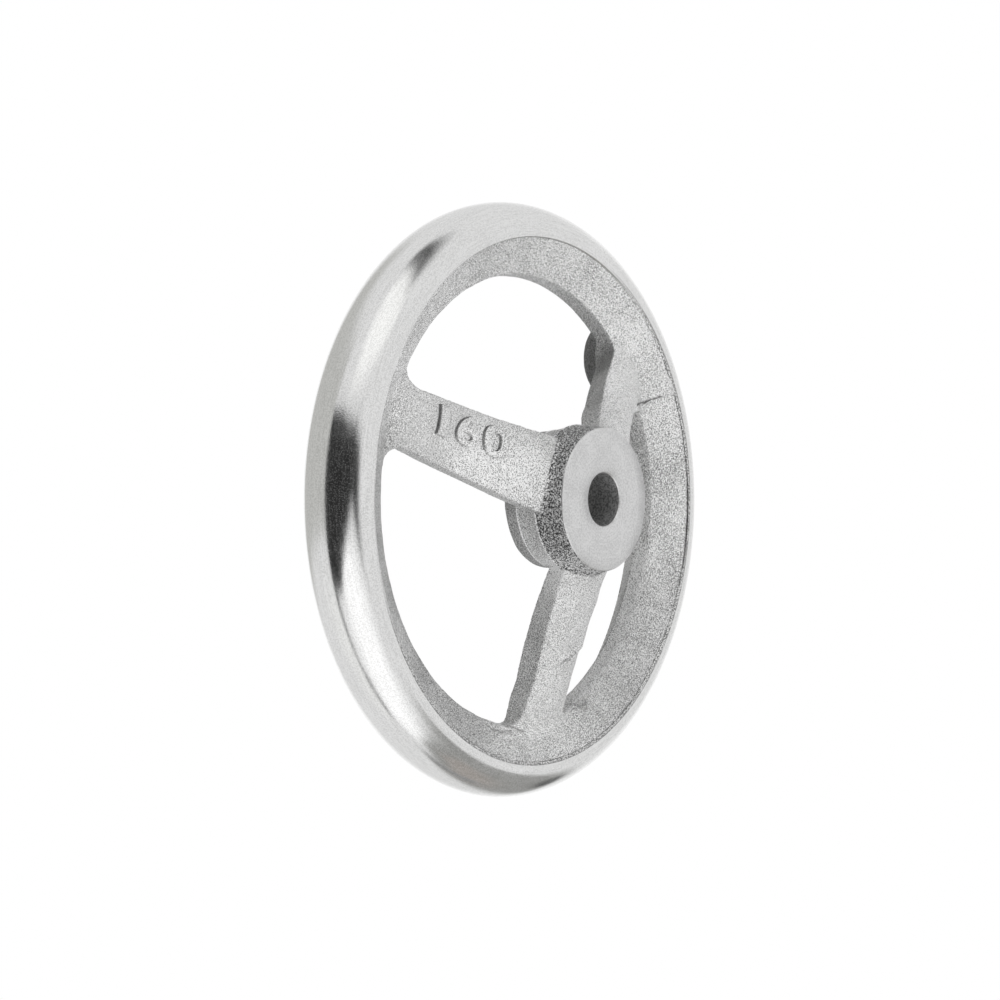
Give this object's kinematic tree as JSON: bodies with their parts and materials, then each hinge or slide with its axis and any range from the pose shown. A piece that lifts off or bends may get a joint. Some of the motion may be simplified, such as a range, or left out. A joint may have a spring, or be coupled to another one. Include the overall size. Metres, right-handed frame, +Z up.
{
  "type": "machine handwheel",
  "caption": "Dished cast aluminium handwheel with spokes, a polished round rim, a bored hub and an undrilled boss for a grip.",
  "frame": {"origin": "on the shaft bore's axis, midway along the hub", "axes": "-Y along the bore towards the machine, +Y towards the operator, +Z up; the wheel stands upright as on a horizontal shaft"},
  "size_m": [0.16, 0.0419, 0.16],
  "materials": {
    "cast_aluminium": "as-cast, lightly blasted spokes and inner rim slopes",
    "polished_aluminium": "rim turned and polished bright, with fine marks round it",
    "machined_aluminium": "hub face and bore turned, with fine rings"
  },
  "bodies": {
    "root": {"handwheel": "cast_aluminium"}
  },
  "joints": []
}
